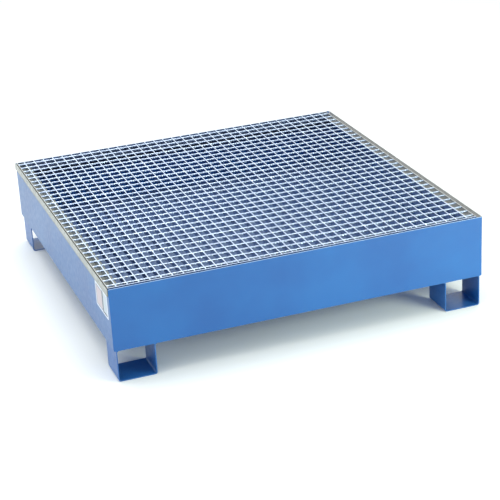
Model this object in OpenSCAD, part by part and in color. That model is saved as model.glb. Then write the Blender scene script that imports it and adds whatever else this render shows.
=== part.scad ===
// Steel spill containment pallet for four drums: a folded and welded sump tray
// on four feet, with a lift-out welded grating. Millimetres, +Z up, +X to the
// right, front at -Y. The origin is on the ground at the middle of the pallet.

/* [Pallet] */
// Width of the tray, left to right, without the overhang of the seat angles
pallet_w = 1200; // [900:10:1500]
// Overall depth, front to back
pallet_d = 1200; // [900:10:1500]
// Height from the ground to the top of the grating
pallet_h = 300; // [260:5:400]
// Sheet thickness of the tray
sheet_t = 3; // [2:0.5:4]
// Outer bend radius of the folded side walls
wall_bend_r = 5; // [5:0.5:10]
// How far the end walls stop short of the top of the grating
wall_drop = 2; // [0:0.5:5]

/* [Feet] */
// Ground clearance under the tray
foot_h = 100; // [90:5:140]
// Width of a foot, left to right
foot_w = 120; // [100:5:160]
// Depth of a foot, front to back
foot_d = 110; // [90:5:150]
// Distance from the side of the tray to a foot
foot_inset = 7; // [6:1:30]
// Sheet thickness of a foot
foot_t = 3; // [3:0.5:5]
// Outer bend radius of a foot
foot_bend_r = 8; // [5.5:0.5:14]

/* [Seats] */
// Width of the inward lip on top of a side wall
lip_w = 40; // [25:1:60]
// Width of the inward leg of a galvanised seat angle
seat_w = 50; // [40:1:60]
// Height of the upright leg of a seat angle
seat_leg_h = 21; // [14:1:22]
// How far a seat angle stands out past the side wall
seat_overhang = 4; // [0:0.5:6]
// Thickness of a seat angle
seat_t = 3; // [3:0.5:4]
// Root fillet radius of a seat angle
seat_root_r = 2; // [1:0.5:2]
// Leg length of the ledges inside the end walls
ledge_leg = 40; // [25:1:60]
// Outer bend radius of a ledge
ledge_bend_r = 5; // [4:0.5:8]

/* [Grating] */
// Height of the bearing bars
bar_h = 20; // [20:1:40]
// Thickness of the bearing bars
bar_t = 3; // [2:0.5:4]
// Pitch of the bearing bars, left to right
bar_pitch = 34.1; // [30:0.1:40]
// Distance from the left outer bar to the first inner bar
first_cell = 25; // [20:0.5:34]
// Pitch of the cross rods, front to back
rod_pitch = 38.1; // [30:0.1:60]
// Side of the square cross rods
rod_side = 6; // [5:0.5:8]
// Gap between a grating laid in the middle and each seat angle
side_gap = 9; // [9:0.5:12]
// How far the loose grating lies off the middle, to the right
grating_shift = -7; // [-7:0.5:7]
// Gap between the grating and each end wall
end_gap = 5; // [3:0.5:8]

/* [Welds and label] */
// Leg length of the weld beads
bead_r = 4; // [3:0.5:5]
// Length of the information label
label_l = 130; // [60:5:160]
// Height of the information label
label_h = 78; // [40:1:100]
// Thickness of the label film
label_t = 0.3; // [0.2:0.1:1]

/* [Hidden] */
half_w = pallet_w / 2;
half_d = pallet_d / 2;
inner_d = pallet_d - 2 * sheet_t;

// Levels above the ground
seat_z = pallet_h - bar_h;
side_top_z = seat_z - seat_t;
wall_top_z = pallet_h - wall_drop;
floor_top_z = foot_h + sheet_t;

// Side walls
side_h = side_top_z - foot_h;
floor_flange_w = 15;
inner_bend_r = wall_bend_r - sheet_t;

// Grating
grating_w = pallet_w + 2 * (seat_overhang - seat_t - side_gap);
grating_d = pallet_d - 2 * (sheet_t + end_gap);
bar_l = grating_d - 2 * bar_t;
outer_bar_x = (grating_w - bar_t) / 2;
binding_bar_y = (grating_d - bar_t) / 2;
least_end_cell = 10;
inner_bars = 1 + floor((2 * outer_bar_x - first_cell - least_end_cell) / bar_pitch);
least_rod_margin = 15;
rods = 1 + floor((grating_d - 2 * least_rod_margin) / rod_pitch);

// Feet
foot_x = half_w - foot_inset - foot_w / 2;
foot_y = half_d - foot_d / 2;

// Label
label_corner_gap = 20;
label_top_gap = 7;

arc_fn = 48;
paint_blue = [0.22, 0.47, 0.78];
zinc_grey = [0.74, 0.76, 0.78];
label_white = [0.93, 0.93, 0.95];

// ---- Helpers ----

// Extrudes an outline drawn in X and Z along Y, centred on Y = 0
module extrude_along_y(length) {
    rotate([90, 0, 0])
        linear_extrude(height = length, center = true)
            children();
}

// Extrudes an outline drawn in Y and Z along X, centred on X = 0
module extrude_along_x(length) {
    rotate([90, 0, 90])
        linear_extrude(height = length, center = true)
            children();
}

// Quarter bend of sheet: outer corner at the origin, legs towards +X and +Y
module bend(r, t) {
    intersection() {
        square([r, r]);
        translate([r, r])
            difference() {
                circle(r = r, $fn = arc_fn);
                circle(r = r - t, $fn = arc_fn);
            }
    }
}

// Sheet folded to an L: outer corner at the origin, leg_x along +X, leg_y along +Y
module angle_outline(leg_x, leg_y, t, r) {
    bend(r, t);
    translate([r, 0])
        square([leg_x - r, t]);
    translate([0, r])
        square([t, leg_y - r]);
}

// Rolled angle: outer corner at the origin, root fillet between the legs
module rolled_angle_outline(leg_x, leg_y, t, root_r) {
    square([leg_x, t]);
    square([t, leg_y]);
    translate([t, t])
        difference() {
            square([root_r, root_r]);
            translate([root_r, root_r])
                circle(r = root_r, $fn = arc_fn);
        }
}

// Section of a weld bead that fills the corner at the origin towards +X and +Y
module bead_outline() {
    intersection() {
        square([bead_r, bead_r]);
        circle(r = bead_r, $fn = arc_fn);
    }
}

// ---- Tray ----

module sump_floor() {
    color(paint_blue)
        translate([-half_w + floor_flange_w, -inner_d / 2, foot_h])
            cube([pallet_w - 2 * floor_flange_w, inner_d, sheet_t]);
}

// Flat plate whose lower corners follow the fold of the side walls
module end_wall_outline() {
    translate([-half_w, wall_bend_r])
        square([pallet_w, wall_top_z - foot_h - wall_bend_r]);
    translate([-half_w + wall_bend_r, 0])
        square([pallet_w - 2 * wall_bend_r, 2 * wall_bend_r]);
    for (side = [-1, 1])
        translate([side * (half_w - wall_bend_r), wall_bend_r])
            circle(r = wall_bend_r, $fn = arc_fn);
}

module end_wall(end) {
    color(paint_blue)
        translate([0, end * (half_d - sheet_t / 2), foot_h])
            extrude_along_y(sheet_t)
                end_wall_outline();
}

// One folded sheet: floor flange, wall and inward lip
module left_wall() {
    color(paint_blue)
        translate([-half_w, 0, foot_h])
            extrude_along_y(inner_d) {
                angle_outline(floor_flange_w, side_h - wall_bend_r, sheet_t, wall_bend_r);
                translate([0, side_h])
                    mirror([0, 1])
                        angle_outline(lip_w, side_h / 2, sheet_t, wall_bend_r);
            }
}

// Angle with its flat leg on top and its other leg down the inside of an end wall
module ledge(end) {
    ledge_l = pallet_w - 2 * (seat_w - seat_overhang + 1);
    color(paint_blue)
        mirror([0, end > 0 ? 1 : 0, 0])
            translate([0, -inner_d / 2, seat_z])
                mirror([0, 0, 1])
                    extrude_along_x(ledge_l)
                        angle_outline(ledge_leg, ledge_leg, sheet_t, ledge_bend_r);
}

// Galvanised angle that lies on a side wall's lip and edges the grating
module left_seat_angle() {
    color(zinc_grey)
        translate([-half_w - seat_overhang, 0, side_top_z])
            extrude_along_y(inner_d)
                rolled_angle_outline(seat_w, seat_leg_h, seat_t, seat_root_r);
}

// ---- Feet ----

// Sheet folded to a U, open at the front and the back
module foot(side, end) {
    color(paint_blue)
        translate([side * foot_x, end * foot_y, 0])
            extrude_along_y(foot_d)
                for (m = [0, 1])
                    mirror([m, 0])
                        translate([-foot_w / 2, 0])
                            angle_outline(foot_w / 2, foot_h, foot_t, foot_bend_r);
}

// ---- Welds and label ----

// Beads in the four upright corners and along both end walls inside the sump
module sump_weld_beads() {
    upright_l = side_h - 2 * (sheet_t + inner_bend_r);
    seam_l = pallet_w - 2 * (sheet_t + bead_r);
    color(paint_blue) {
        for (mx = [0, 1])
            for (my = [0, 1])
                mirror([mx, 0, 0])
                    mirror([0, my, 0])
                        translate([
                            -half_w + sheet_t,
                            -inner_d / 2,
                            floor_top_z + inner_bend_r
                        ])
                            linear_extrude(height = upright_l)
                                bead_outline();
        for (my = [0, 1])
            mirror([0, my, 0])
                translate([0, -inner_d / 2, floor_top_z])
                    extrude_along_x(seam_l)
                        bead_outline();
    }
}

// Two beads a foot: inside its outer leg and outside its inner leg
module foot_weld_beads() {
    inner_leg_x = half_w - foot_inset - foot_w;
    outer_leg_x = half_w - foot_inset - foot_t;
    color(paint_blue)
        for (mx = [0, 1])
            for (end = [-1, 1])
                for (leg_x = [inner_leg_x, outer_leg_x])
                    mirror([mx, 0, 0])
                        translate([leg_x, end * foot_y, foot_h])
                            extrude_along_y(foot_d)
                                rotate(180)
                                    bead_outline();
}

module information_label() {
    color(label_white)
        translate([
            -half_w - label_t,
            -inner_d / 2 + label_corner_gap,
            side_top_z - label_top_gap - label_h
        ])
            cube([label_t, label_l, label_h]);
}

// ---- Grating ----

// Moves a piece of the grating from the middle of the tray to where it lies
module lay_in_tray() {
    translate([grating_shift, 0, 0])
        children();
}

module bearing_bar(x) {
    translate([x - bar_t / 2, -bar_l / 2, seat_z])
        cube([bar_t, bar_l, bar_h]);
}

module bearing_bars() {
    color(zinc_grey)
        for (i = [0 : inner_bars - 1])
            bearing_bar(-outer_bar_x + first_cell + i * bar_pitch);
}

module outer_bar(side) {
    color(zinc_grey)
        bearing_bar(side * outer_bar_x);
}

module binding_bar(end) {
    color(zinc_grey)
        translate([-grating_w / 2, end * binding_bar_y - bar_t / 2, seat_z])
            cube([grating_w, bar_t, bar_h]);
}

// Square rods forged into the tops of the bars
module cross_rods() {
    color(zinc_grey)
        for (i = [0 : rods - 1])
            translate([
                -grating_w / 2,
                (i - (rods - 1) / 2) * rod_pitch - rod_side / 2,
                pallet_h - rod_side
            ])
                cube([grating_w, rod_side, rod_side]);
}

sump_floor();
end_wall(-1);  // front_wall
end_wall(1);  // back_wall
left_wall();
mirror([1, 0, 0]) left_wall();  // right_wall
ledge(-1);  // front_ledge
ledge(1);  // back_ledge
left_seat_angle();
mirror([1, 0, 0]) left_seat_angle();  // right_seat_angle
foot(-1, -1);  // foot_front_left
foot(1, -1);  // foot_front_right
foot(-1, 1);  // foot_back_left
foot(1, 1);  // foot_back_right
sump_weld_beads();
foot_weld_beads();
information_label();
lay_in_tray() bearing_bars();
lay_in_tray() outer_bar(-1);  // outer_bar_left
lay_in_tray() outer_bar(1);  // outer_bar_right
lay_in_tray() binding_bar(-1);  // binding_bar_front
lay_in_tray() binding_bar(1);  // binding_bar_back
lay_in_tray() cross_rods();
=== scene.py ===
"""Looks of the spill containment pallet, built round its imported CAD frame."""

import math
import random

import bmesh
import bpy
from mathutils import Matrix, Quaternion, Vector


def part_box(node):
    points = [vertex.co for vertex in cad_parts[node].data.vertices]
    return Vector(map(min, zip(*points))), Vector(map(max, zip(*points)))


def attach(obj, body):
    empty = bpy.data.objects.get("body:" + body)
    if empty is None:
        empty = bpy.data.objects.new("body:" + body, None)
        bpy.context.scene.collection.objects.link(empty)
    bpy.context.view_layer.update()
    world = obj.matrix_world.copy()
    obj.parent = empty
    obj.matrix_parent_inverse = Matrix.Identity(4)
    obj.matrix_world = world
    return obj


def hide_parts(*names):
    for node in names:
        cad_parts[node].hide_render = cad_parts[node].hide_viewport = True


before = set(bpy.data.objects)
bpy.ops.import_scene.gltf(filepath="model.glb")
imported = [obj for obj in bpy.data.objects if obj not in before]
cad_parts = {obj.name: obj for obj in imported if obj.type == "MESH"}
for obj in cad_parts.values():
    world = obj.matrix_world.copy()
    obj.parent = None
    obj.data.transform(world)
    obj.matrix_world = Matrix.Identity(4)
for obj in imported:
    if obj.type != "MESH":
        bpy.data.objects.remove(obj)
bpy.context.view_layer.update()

MM = 0.001
random.seed(7)

# ---------------------------------------------------------------- measures

# Cross rods: square bar, twisted, forged flush into the bars
ROD_SIDE = 5.0 * MM
ROD_CHAMFER = 0.8 * MM
ROD_TWIST_LENGTH = 67.6 * MM      # one full turn
ROD_RINGS_PER_TURN = 24
FORGE_REACH = 2.6 * MM            # how far the upset metal spreads from a bar
FORGE_SWELL = 0.20                # how much wider the rod is there
FLUSH_GAP = 0.05 * MM             # keeps the rods just below the bars' tops
ROD_PHASE = 0.35                  # how far a rod's first corner may be turned, in radians

# Weld beads
BEAD_RIPPLE = 3.2 * MM
BEAD_RINGS_PER_RIPPLE = 5
BEAD_ARC_STEPS = 6
BEAD_SHARE = 0.97                 # bead radius, as a share of its CAD solid's
BEAD_VALLEY = 0.84                # radius between two ripples, as a share of the bead's
BEAD_CREST = 0.13                 # what a ripple adds to it
BEAD_ROUNDNESS = 0.6              # power that rounds the ripples
BEAD_SWAY = 0.03                  # slow change of radius along the bead
BEAD_SWAY_RATE = 90               # radians in a metre

# Label
LABEL_CORNER_R = 3.0 * MM
LABEL_CORNER_STEPS = 6
LABEL_LIFT = 0.02 * MM            # keeps its back off the wall

# Textures, in waves or cells to the metre
PAINT_CLOUDS = 5.0
PAINT_GRAIN = 900.0
PAINT_GLOSS = 60.0
PAINT_PEEL = 330.0
PAINT_WAVES = 70.0
# The next scale breaks up the painted highlight and sheen on top faces.
PAINT_SHEEN = 35.0
ZINC_CLOUDS = 28.0
ZINC_SKIN = 420.0
ZINC_WAVES = 90.0
LABEL_FIBRE = 200.0
LABEL_GLOSS = 40.0
LABEL_CREASE = 260.0
FLOOR_CLOUDS = 0.8

# Edges: width of the small rounding, and how far a painted highlight on a top reaches down
SHEET_EDGE = 0.6 * MM
BAR_EDGE = 0.4 * MM
ANGLE_EDGE = 0.8 * MM
# painted highlight or grey sheen on the end walls' top edges reaches this far down
WALL_TOP_SHEEN = 0.3 * MM
# bars and rods: painted highlight on the top, painted shade on their sides below it
BAR_TOP_HIGHLIGHT = 0.4 * MM
ROD_TOP_HIGHLIGHT = 0.8 * MM
# painted shade on the seat angles lies below this height
SEAT_SHADE_HEIGHT = 1.2 * MM              # from the grating's seat up
PAINT_FADE = 0.4 * MM
ZINC_FADE = 1.0 * MM

# Stage
FLOOR_GAP = 0.3 * MM              # keeps the floor off the undersides of the feet
FLOOR_REACH = 60.0                # from the middle to each side
WORLD_COLOR = (0.91, 1.0, 1.0, 1.0)
WORLD_STRENGTH = 0.88
WHITE = (1.0, 1.0, 1.0)
LIGHTS = (                        # name, place, aim, size, power, colour
    ("overhead", (-0.6, 0.4, 3.4), (-0.2, 0.0, 0.0), (4.0, 4.0), 110.0, WHITE),
    ("back panel", (1.7, 5.2, 2.6), (0, 0, 0.3), (5.0, 3.6), 32.0, WHITE),
    ("right fill", (1.5, -2.2, 0.8), (0.5, -0.6, 0.2), (0.9, 0.9), 40.0, (0.9, 1.0, 0.75)),
    ("left fill", (-3.2, -1.05, 0.6), (0.2, -0.5, 0.1), (0.9, 0.9), 14.0, (0.9, 1.0, 0.95)),
)

# Camera: angles in degrees, lens and sensor in millimetres
CAMERA_AZIMUTH = -19.34
CAMERA_ELEVATION = 23.08
CAMERA_ROLL = 3.10
CAMERA_PLACE = (-1.5413, -4.5228, 2.1087)
CAMERA_LENS = 111.12
CAMERA_SENSOR = 36.0


def srgb(r, g, b):
    """Linear colour from 8-bit display values."""
    def linear(v):
        v /= 255.0
        return v / 12.92 if v <= 0.04045 else ((v + 0.055) / 1.055) ** 2.4
    return (linear(r), linear(g), linear(b), 1.0)


# ---------------------------------------------------------------- materials

class Shading:
    """A node material whose textures are laid out in the object's own metres."""

    def __init__(self, name):
        self.material = bpy.data.materials.new(name)
        self.material.use_nodes = True
        self.tree = self.material.node_tree
        self.shader = self.tree.nodes["Principled BSDF"]
        self.place = self.add("ShaderNodeTexCoord").outputs["Object"]

    def add(self, kind, **settings):
        node = self.tree.nodes.new(kind)
        for key, value in settings.items():
            setattr(node, key, value)
        return node

    def put(self, value, socket):
        """Links an output, or sets a plain value."""
        if isinstance(value, bpy.types.NodeSocket):
            self.tree.links.new(value, socket)
        else:
            socket.default_value = value

    def noise(self, scale, detail=2.0, roughness=0.5):
        """Soft noise; the scale is in waves to the metre."""
        node = self.add("ShaderNodeTexNoise")
        node.inputs["Scale"].default_value = scale
        node.inputs["Detail"].default_value = detail
        node.inputs["Roughness"].default_value = roughness
        self.put(self.place, node.inputs["Vector"])
        return node.outputs["Fac"]

    def crystals(self, scale):
        """Cells with a random number each."""
        node = self.add("ShaderNodeTexVoronoi")
        node.inputs["Scale"].default_value = scale
        self.put(self.place, node.inputs["Vector"])
        split = self.add("ShaderNodeSeparateColor")
        self.put(node.outputs["Color"], split.inputs["Color"])
        return split.outputs["Red"]

    def above(self, height, fade):
        """1 on what lies above a height, 0 on what lies a fade's width lower."""
        split = self.add("ShaderNodeSeparateXYZ")
        self.put(self.place, split.inputs["Vector"])
        return self.spread(split.outputs["Z"], height - fade, height)

    def spread(self, value, low, high, to_low=0.0, to_high=1.0):
        """Stretches low..high over to_low..to_high, and clamps what lies outside."""
        node = self.add("ShaderNodeMapRange", clamp=True)
        for key, number in (
            ("From Min", low), ("From Max", high), ("To Min", to_low), ("To Max", to_high),
        ):
            node.inputs[key].default_value = number
        self.put(value, node.inputs["Value"])
        return node.outputs["Result"]

    def mix(self, factor, a, b):
        node = self.add("ShaderNodeMix", data_type="RGBA")
        self.put(factor, node.inputs["Factor"])
        self.put(a, node.inputs["A"])
        self.put(b, node.inputs["B"])
        return node.outputs["Result"]

    def maths(self, operation, a, b):
        node = self.add("ShaderNodeMath", operation=operation)
        self.put(a, node.inputs[0])
        self.put(b, node.inputs[1])
        return node.outputs[0]

    def bump(self, height, distance, strength, normal=None):
        node = self.add("ShaderNodeBump")
        node.inputs["Distance"].default_value = distance
        node.inputs["Strength"].default_value = strength
        self.put(height, node.inputs["Height"])
        if normal is not None:
            self.put(normal, node.inputs["Normal"])
        return node.outputs["Normal"]

    def finish(self, color, roughness, normal=None, **shader_values):
        """Wires up the shader; the other values go straight onto its sockets."""
        self.put(color, self.shader.inputs["Base Color"])
        self.put(roughness, self.shader.inputs["Roughness"])
        if normal is not None:
            self.put(normal, self.shader.inputs["Normal"])
        for key, value in shader_values.items():
            self.shader.inputs[key.replace("_", " ")].default_value = value
        return self.material


def blue_paint(name, base=srgb(21, 92, 163), deep=srgb(17, 82, 153), top_sheen=None):
    """Satin powder coat: faint cloudiness, fine orange peel.

    top_sheen is (height, tint, share): above that height, up to that share is tinted; this paints a
    highlight, sheen or reflection on a top face.
    """
    s = Shading(name)
    clouds = s.spread(s.noise(PAINT_CLOUDS, 3.0), 0.35, 0.65)
    grain = s.spread(s.noise(PAINT_GRAIN, 1.0), 0.3, 0.7)
    color = s.mix(clouds, deep, base)
    color = s.mix(s.maths("MULTIPLY", grain, 0.06), color, srgb(90, 150, 210))
    if top_sheen is not None:
        height, tint, share = top_sheen
        # patches in the painted highlight, sheen or reflection on the top face
        sheen_share = s.spread(s.noise(PAINT_SHEEN, 2.0), 0.2, 0.8, share * 0.7, share)
        color = s.mix(s.maths("MULTIPLY", s.above(height, PAINT_FADE), sheen_share), color, tint)
    rough = s.spread(s.noise(PAINT_GLOSS, 3.0), 0.3, 0.7, 0.30, 0.40)
    peel = s.bump(s.noise(PAINT_PEEL, 2.0), 0.25 * MM, 0.35)
    peel = s.bump(s.noise(PAINT_WAVES, 1.0), 0.5 * MM, 0.10, peel)
    return s.finish(color, rough, peel, Specular_IOR_Level=0.42,
                    Coat_Weight=0.1, Coat_Roughness=0.12)


def zinc(name, light, dark, rough=(0.18, 0.32), spangle=110.0, metallic=1.0, lit_top=None):
    """Hot-dip zinc: crystalline spangle, soft grey clouds.

    lit_top is (height, shaded_color): what lies above that height keeps the bright colours, a
    painted highlight, and the rest runs between shaded_color and dark, as painted shade.
    """
    s = Shading(name)
    clouds = s.spread(s.noise(ZINC_CLOUDS, 4.0, 0.6), 0.3, 0.7)
    shade = s.maths("ADD", s.maths("MULTIPLY", s.crystals(spangle), 0.45),
                    s.maths("MULTIPLY", clouds, 0.55))
    color = s.mix(shade, dark, light)
    roughness = s.spread(shade, 0.1, 0.9, rough[1], rough[0])
    if lit_top is not None:
        height, shaded_color = lit_top
        # painted highlight above the height, painted shade below it
        color = s.mix(s.above(height, ZINC_FADE), s.mix(shade, shaded_color, dark), color)
    normal = s.bump(s.noise(ZINC_SKIN, 3.0), 0.12 * MM, 0.35)
    normal = s.bump(s.noise(ZINC_WAVES, 2.0), 0.35 * MM, 0.20, normal)
    return s.finish(color, roughness, normal, Metallic=metallic)


LABEL_FIELDS = (                  # rectangle, colour; a later field covers an earlier one
    ((0.44, 0.94, 0.08, 0.91), srgb(112, 120, 138)),       # frame of the rose field
    ((0.47, 0.91, 0.115, 0.875), srgb(196, 184, 190)),     # rose field
    ((0.06, 0.35, 0.16, 0.91), srgb(188, 196, 206)),       # pale blue field
    ((0.365, 0.425, 0.05, 0.95), srgb(58, 74, 74)),        # divider
    ((0.08, 0.35, 0.07, 0.135), srgb(30, 36, 56)),         # dash under the pale blue field
)


def label_film(name, low, high):
    """White film with a framed rose field, a dark divider and a pale blue field."""
    s = Shading(name)
    split = s.add("ShaderNodeSeparateXYZ")
    s.put(s.place, split.inputs["Vector"])
    along = s.spread(split.outputs["Y"], low.y, high.y)
    up = s.spread(split.outputs["Z"], low.z, high.z)

    def inside(y0, y1, z0, z1):
        """1 in the rectangle, in shares of the label's length and height."""
        inner = None
        for value, low_edge, high_edge in ((along, y0, y1), (up, z0, z1)):
            for test, edge in (("GREATER_THAN", low_edge), ("LESS_THAN", high_edge)):
                hit = s.maths(test, value, edge)
                inner = hit if inner is None else s.maths("MULTIPLY", inner, hit)
        return inner

    fibre = s.spread(s.noise(LABEL_FIBRE, 2.0), 0.35, 0.65)
    color = s.mix(fibre, srgb(208, 212, 222), srgb(220, 224, 234))
    for rectangle, tint in LABEL_FIELDS:
        color = s.mix(inside(*rectangle), color, tint)
    normal = s.bump(s.noise(LABEL_CREASE, 2.0), 0.1 * MM, 0.15)
    rough = s.spread(s.noise(LABEL_GLOSS), 0.3, 0.7, 0.50, 0.58)
    return s.finish(color, rough, normal, Specular_IOR_Level=0.2)


def dress(material, *names):
    """Gives CAD nodes a material."""
    for name in names:
        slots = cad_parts[name].data.materials
        slots.clear()
        slots.append(material)


def soften(width, *names):
    """A small rounded edge on CAD nodes, so that their edges catch the light."""
    for name in names:
        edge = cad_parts[name].modifiers.new("edge", "BEVEL")
        edge.width = width
        edge.segments = 2
        edge.limit_method = "ANGLE"
        edge.angle_limit = math.radians(40)


# ---------------------------------------------------------------- mesh helpers

def piece(name, bm, material, body, slot, *stands_for, smooth):
    """Turns a bmesh into a piece that rides on a body and replaces CAD nodes."""
    mesh = bpy.data.meshes.new(name)
    bmesh.ops.recalc_face_normals(bm, faces=bm.faces)
    bm.to_mesh(mesh)
    bm.free()
    for face in mesh.polygons:
        face.use_smooth = smooth
    mesh.materials.append(material)
    made = bpy.data.objects.new(name, mesh)
    bpy.context.scene.collection.objects.link(made)
    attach(made, body)
    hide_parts(*stands_for)


def sweep(bm, rings):
    """Joins rings of points into a closed solid with flat ends."""
    made = [[bm.verts.new(p) for p in ring] for ring in rings]
    count = len(made[0])
    for a, b in zip(made, made[1:]):
        for i in range(count):
            j = (i + 1) % count
            bm.faces.new((a[i], a[j], b[j], b[i]))
    bm.faces.new(made[0])
    bm.faces.new(list(reversed(made[-1])))


def bar_centres():
    """X of every bar that runs front to back, from the CAD meshes."""
    found = []
    for name in ("outer_bar_left", "bearing_bars", "outer_bar_right"):
        found += [v.co.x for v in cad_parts[name].data.vertices]
    edges = sorted({round(x, 5) for x in found})
    return [(a + b) / 2 for a, b in zip(edges[::2], edges[1::2])]


def rod_centres():
    """Y of every cross rod, from the CAD mesh."""
    edges = sorted({round(v.co.y, 5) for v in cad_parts["cross_rods"].data.vertices})
    return [(a + b) / 2 for a, b in zip(edges[::2], edges[1::2])]


# ---------------------------------------------------------------- grating

def rod_section():
    """Square outline with small chamfers, as (y, z) points round the rod's middle."""
    half, cut = ROD_SIDE / 2, ROD_CHAMFER
    corners = []
    for turn in range(4):
        quarter = Matrix.Rotation(turn * math.pi / 2, 2)
        corners += [quarter @ Vector((half, -half + cut)), quarter @ Vector((half, half - cut))]
    return corners


def twisted_rod(bm, y, bars, low, high):
    """One twisted rod, swollen and pressed flush where it is forged into a bar."""
    outline = rod_section()
    reach = max(p.length for p in outline)
    middle_z = high.z - reach
    steps = round((high.x - low.x) / ROD_TWIST_LENGTH * ROD_RINGS_PER_TURN)
    phase = random.uniform(-ROD_PHASE, ROD_PHASE)
    rings = []
    for i in range(steps + 1):
        x = low.x + (high.x - low.x) * i / steps
        turn = Matrix.Rotation(phase + 2 * math.pi * (x - low.x) / ROD_TWIST_LENGTH, 2)
        nearest = min(abs(x - b) for b in bars)
        swell = 1 + FORGE_SWELL * math.exp(-((nearest / FORGE_REACH) ** 2))
        ring = []
        for p in outline:
            q = turn @ p * swell
            ring.append((x, y + q.x, min(middle_z + q.y, high.z - FLUSH_GAP)))
        rings.append(ring)
    sweep(bm, rings)


def build_cross_rods(material):
    low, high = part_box("cross_rods")
    bars = bar_centres()
    bm = bmesh.new()
    for y in rod_centres():
        twisted_rod(bm, y, bars, low, high)
    piece("twisted_rods", bm, material, "grating", "galvanised_rod", "cross_rods", smooth=False)


# ---------------------------------------------------------------- welds

def islands(name):
    """Joined parts of a CAD node, each as its box's low and high corner and its points.

    Solids that touch come out as one part, and the parts come in no fixed order.
    """
    bm = bmesh.new()
    bm.from_mesh(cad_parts[name].data)
    bmesh.ops.remove_doubles(bm, verts=bm.verts, dist=1e-6)
    left, found = set(bm.verts), []
    while left:
        stack = [left.pop()]
        group = list(stack)
        while stack:
            for edge in stack.pop().link_edges:
                for v in edge.verts:
                    if v in left:
                        left.remove(v)
                        stack.append(v)
                        group.append(v)
        co = [v.co for v in group]
        low = Vector(min(c[k] for c in co) for k in range(3))
        high = Vector(max(c[k] for c in co) for k in range(3))
        found.append((low, high, sorted((c.copy() for c in co), key=tuple)))
    bm.free()
    return found


def bead(bm, low, high, points):
    """A rippled fillet bead along the longest side of a box."""
    size = high - low
    axis = max(range(3), key=lambda k: size[k])
    u, v = [k for k in range(3) if k != axis]
    radius = min(size[u], size[v])
    # The root is the corner of the section across from the one that the solid leaves empty.
    roots = [(a, b) for a in (low[u], high[u]) for b in (low[v], high[v])]
    root = max(roots, key=lambda r: min(
        math.hypot(p[u] - (low[u] + high[u] - r[0]), p[v] - (low[v] + high[v] - r[1]))
        for p in points))
    su = 1 if root[0] == low[u] else -1
    sv = 1 if root[1] == low[v] else -1
    ripples = max(1, round(size[axis] / BEAD_RIPPLE))
    steps = ripples * BEAD_RINGS_PER_RIPPLE
    wobble = random.uniform(0, 6)
    rings = []
    for i in range(steps + 1):
        share = i / steps
        along = low[axis] + size[axis] * share
        ripple = abs(math.sin(math.pi * ripples * share))
        sway = BEAD_SWAY * math.sin(wobble + along * BEAD_SWAY_RATE)
        r = radius * BEAD_SHARE * (BEAD_VALLEY + BEAD_CREST * ripple ** BEAD_ROUNDNESS + sway)
        ring = [(root[0], root[1])]
        for k in range(BEAD_ARC_STEPS + 1):
            a = math.pi / 2 * k / BEAD_ARC_STEPS
            ring.append((root[0] + su * r * math.cos(a), root[1] + sv * r * math.sin(a)))
        points_3d = []
        for pu, pv in ring:
            p = [0.0, 0.0, 0.0]
            p[axis], p[u], p[v] = along, pu, pv
            points_3d.append(p)
        rings.append(points_3d)
    sweep(bm, rings)


def build_beads(name, material, node):
    """One bead for each joined part.

    The sump's upright corner welds touch its floor seams, so only the two seams are built.
    """
    bm = bmesh.new()
    for low, high, points in islands(node):
        bead(bm, low, high, points)
    piece(name, bm, material, "tray", "painted_weld", node, smooth=True)


# ---------------------------------------------------------------- label

def build_label():
    """Film with rounded corners on the left wall."""
    low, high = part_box("information_label")
    bm = bmesh.new()
    outline = []
    for cy, cz, start in (
        (high.y - LABEL_CORNER_R, high.z - LABEL_CORNER_R, 0),
        (low.y + LABEL_CORNER_R, high.z - LABEL_CORNER_R, 90),
        (low.y + LABEL_CORNER_R, low.z + LABEL_CORNER_R, 180),
        (high.y - LABEL_CORNER_R, low.z + LABEL_CORNER_R, 270),
    ):
        for k in range(LABEL_CORNER_STEPS + 1):
            a = math.radians(start + 90 * k / LABEL_CORNER_STEPS)
            outline.append((cy + LABEL_CORNER_R * math.cos(a), cz + LABEL_CORNER_R * math.sin(a)))
    rings = [[(x, y, z) for y, z in outline] for x in (high.x - LABEL_LIFT, low.x)]
    sweep(bm, rings)
    piece("label", bm, label_film("label film", low, high), "tray", "label_film",
          "information_label", smooth=False)


# ---------------------------------------------------------------- stage

def build_floor():
    mesh = bpy.data.meshes.new("floor")
    bm = bmesh.new()
    bmesh.ops.create_grid(bm, x_segments=1, y_segments=1, size=FLOOR_REACH)
    bm.to_mesh(mesh)
    bm.free()
    floor = bpy.data.objects.new("floor", mesh)
    floor.location.z = -FLOOR_GAP
    s = Shading("pale floor")
    tone = s.mix(s.spread(s.noise(FLOOR_CLOUDS), 0.3, 0.7), srgb(240, 240, 241), srgb(244, 244, 245))
    mesh.materials.append(s.finish(tone, 0.7, Specular_IOR_Level=0.2))
    bpy.context.scene.collection.objects.link(floor)


def build_light(name, place, aim, size, power, color):
    data = bpy.data.lights.new(name, "AREA")
    data.shape = "RECTANGLE"
    data.size, data.size_y = size
    data.energy = power
    data.color = color
    light = bpy.data.objects.new(name, data)
    light.location = place
    light.rotation_mode = "QUATERNION"
    light.rotation_quaternion = (Vector(aim) - Vector(place)).to_track_quat("-Z", "Y")
    bpy.context.scene.collection.objects.link(light)


def build_world():
    world = bpy.data.worlds.new("studio")
    world.use_nodes = True
    background = world.node_tree.nodes["Background"]
    background.inputs["Color"].default_value = WORLD_COLOR
    background.inputs["Strength"].default_value = WORLD_STRENGTH
    bpy.context.scene.world = world


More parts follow.
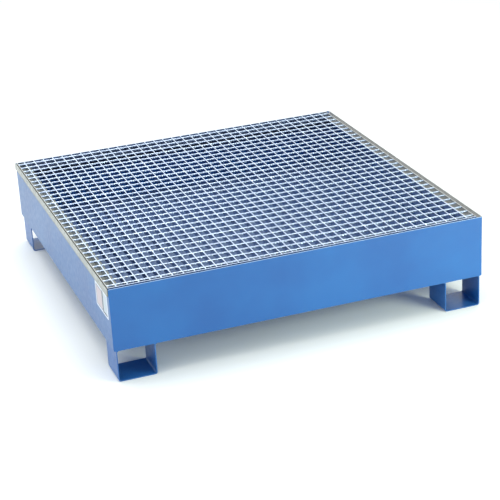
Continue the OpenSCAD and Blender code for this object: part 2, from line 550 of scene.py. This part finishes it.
def build_camera():
    data = bpy.data.cameras.new("camera")
    data.sensor_width = CAMERA_SENSOR
    data.lens = CAMERA_LENS
    camera = bpy.data.objects.new("camera", data)
    a, e = math.radians(CAMERA_AZIMUTH), math.radians(CAMERA_ELEVATION)
    back = Vector((math.sin(a) * math.cos(e), -math.cos(a) * math.cos(e), math.sin(e)))
    level = (-back).to_track_quat("-Z", "Y")
    camera.rotation_mode = "QUATERNION"
    camera.rotation_quaternion = level @ Quaternion((0, 0, 1), -math.radians(CAMERA_ROLL))
    camera.location = CAMERA_PLACE
    bpy.context.scene.collection.objects.link(camera)
    bpy.context.scene.camera = camera


# ---------------------------------------------------------------- assembly

build_camera()
build_world()
build_floor()
for light in LIGHTS:
    build_light(*light)
bpy.context.scene.view_settings.view_transform = "Standard"

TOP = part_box("bearing_bars")[1].z
WALL_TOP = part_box("front_wall")[1].z
SUMP_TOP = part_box("sump_floor")[1].z
SEAT_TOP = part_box("bearing_bars")[0].z

# painted sheen: the side walls get a greyer copy of the blue, standing in for their grazing
# reflection
side_paint = blue_paint("greyer blue powder coat on the side walls, painted sheen", srgb(44, 98, 156), srgb(38, 88, 147))
foot_paint = blue_paint("blue powder coat on the feet", srgb(32, 92, 160), srgb(28, 82, 150))
# painted highlight: lighter blue on the front wall's top edge
front_paint = blue_paint("blue powder coat, with a painted highlight on the top edge",
                         top_sheen=(WALL_TOP - WALL_TOP_SHEEN, srgb(160, 188, 220), 0.75))
# painted reflection: a grey sheen on the back wall's top edge
back_paint = blue_paint("blue powder coat, with a painted grey sheen on the top edge",
                        top_sheen=(WALL_TOP - WALL_TOP_SHEEN, srgb(166, 164, 166), 0.95))
# painted reflection: greyer blue on the sump floor's top face
sump_paint = blue_paint("dusty blue powder coat in the sump",
                        top_sheen=(SUMP_TOP, srgb(100, 116, 146), 0.88))
# painted shade: the ledges inside the tray are given a dark grey-blue
ledge_paint = blue_paint("darkened blue powder coat, painted shade on the ledges", srgb(42, 48, 70), srgb(32, 38, 60))
# painted highlight on the tops of bars and rods, painted shade on their sides
bar_zinc = zinc("zinc on bars", srgb(226, 236, 252), srgb(200, 213, 236),
                lit_top=(TOP - BAR_TOP_HIGHLIGHT, srgb(150, 160, 182)))
rod_zinc = zinc("zinc on rods", srgb(214, 227, 248), srgb(186, 201, 226), rough=(0.26, 0.40),
                spangle=160.0, lit_top=(TOP - ROD_TOP_HIGHLIGHT, srgb(128, 139, 166)))
edge_zinc = zinc("zinc on outer bars", srgb(192, 192, 190), srgb(160, 160, 157),
                 rough=(0.26, 0.40))
# painted shade: the flat leg under the grating is darker, and the whole angle is darker than the
# right one
angle_zinc = zinc("zinc on the left seat angle", srgb(176, 178, 174), srgb(146, 148, 142),
                  rough=(0.30, 0.45), spangle=70.0, metallic=0.45,
                  lit_top=(SEAT_TOP + SEAT_SHADE_HEIGHT, srgb(128, 127, 113)))
# painted light: a lighter copy of the seat angle zinc for the right side
right_angle_zinc = zinc("lighter zinc on the right seat angle, painted light", srgb(211, 210, 210),
                        srgb(185, 184, 184), rough=(0.30, 0.45), spangle=70.0, metallic=0.3,
                        lit_top=(SEAT_TOP + SEAT_SHADE_HEIGHT, srgb(193, 192, 189)))

END_WALLS = ("front_wall", "back_wall")
SIDE_WALLS = ("left_wall", "right_wall")
LEDGES = ("front_ledge", "back_ledge")
FEET = tuple(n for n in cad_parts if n.startswith("foot_") and "weld" not in n)
BARS = ("bearing_bars", "binding_bar_front", "binding_bar_back")
OUTER_BARS = ("outer_bar_left", "outer_bar_right")
SEATS = ("left_seat_angle", "right_seat_angle")

dress(side_paint, *SIDE_WALLS)
dress(foot_paint, *FEET)
dress(front_paint, "front_wall")
dress(back_paint, "back_wall")
dress(sump_paint, "sump_floor")
dress(ledge_paint, *LEDGES)
dress(bar_zinc, *BARS)
dress(edge_zinc, *OUTER_BARS)
dress(angle_zinc, "left_seat_angle")
dress(right_angle_zinc, "right_seat_angle")
soften(SHEET_EDGE, "sump_floor", *END_WALLS, *SIDE_WALLS, *LEDGES, *FEET)
soften(BAR_EDGE, *BARS, *OUTER_BARS)
soften(ANGLE_EDGE, *SEATS)

build_cross_rods(rod_zinc)
bead_paint = blue_paint("blue paint on welds", srgb(23, 95, 165), srgb(18, 82, 152))
build_beads("sump_welds", bead_paint, "sump_weld_beads")
build_beads("foot_welds", bead_paint, "foot_weld_beads")
build_label()
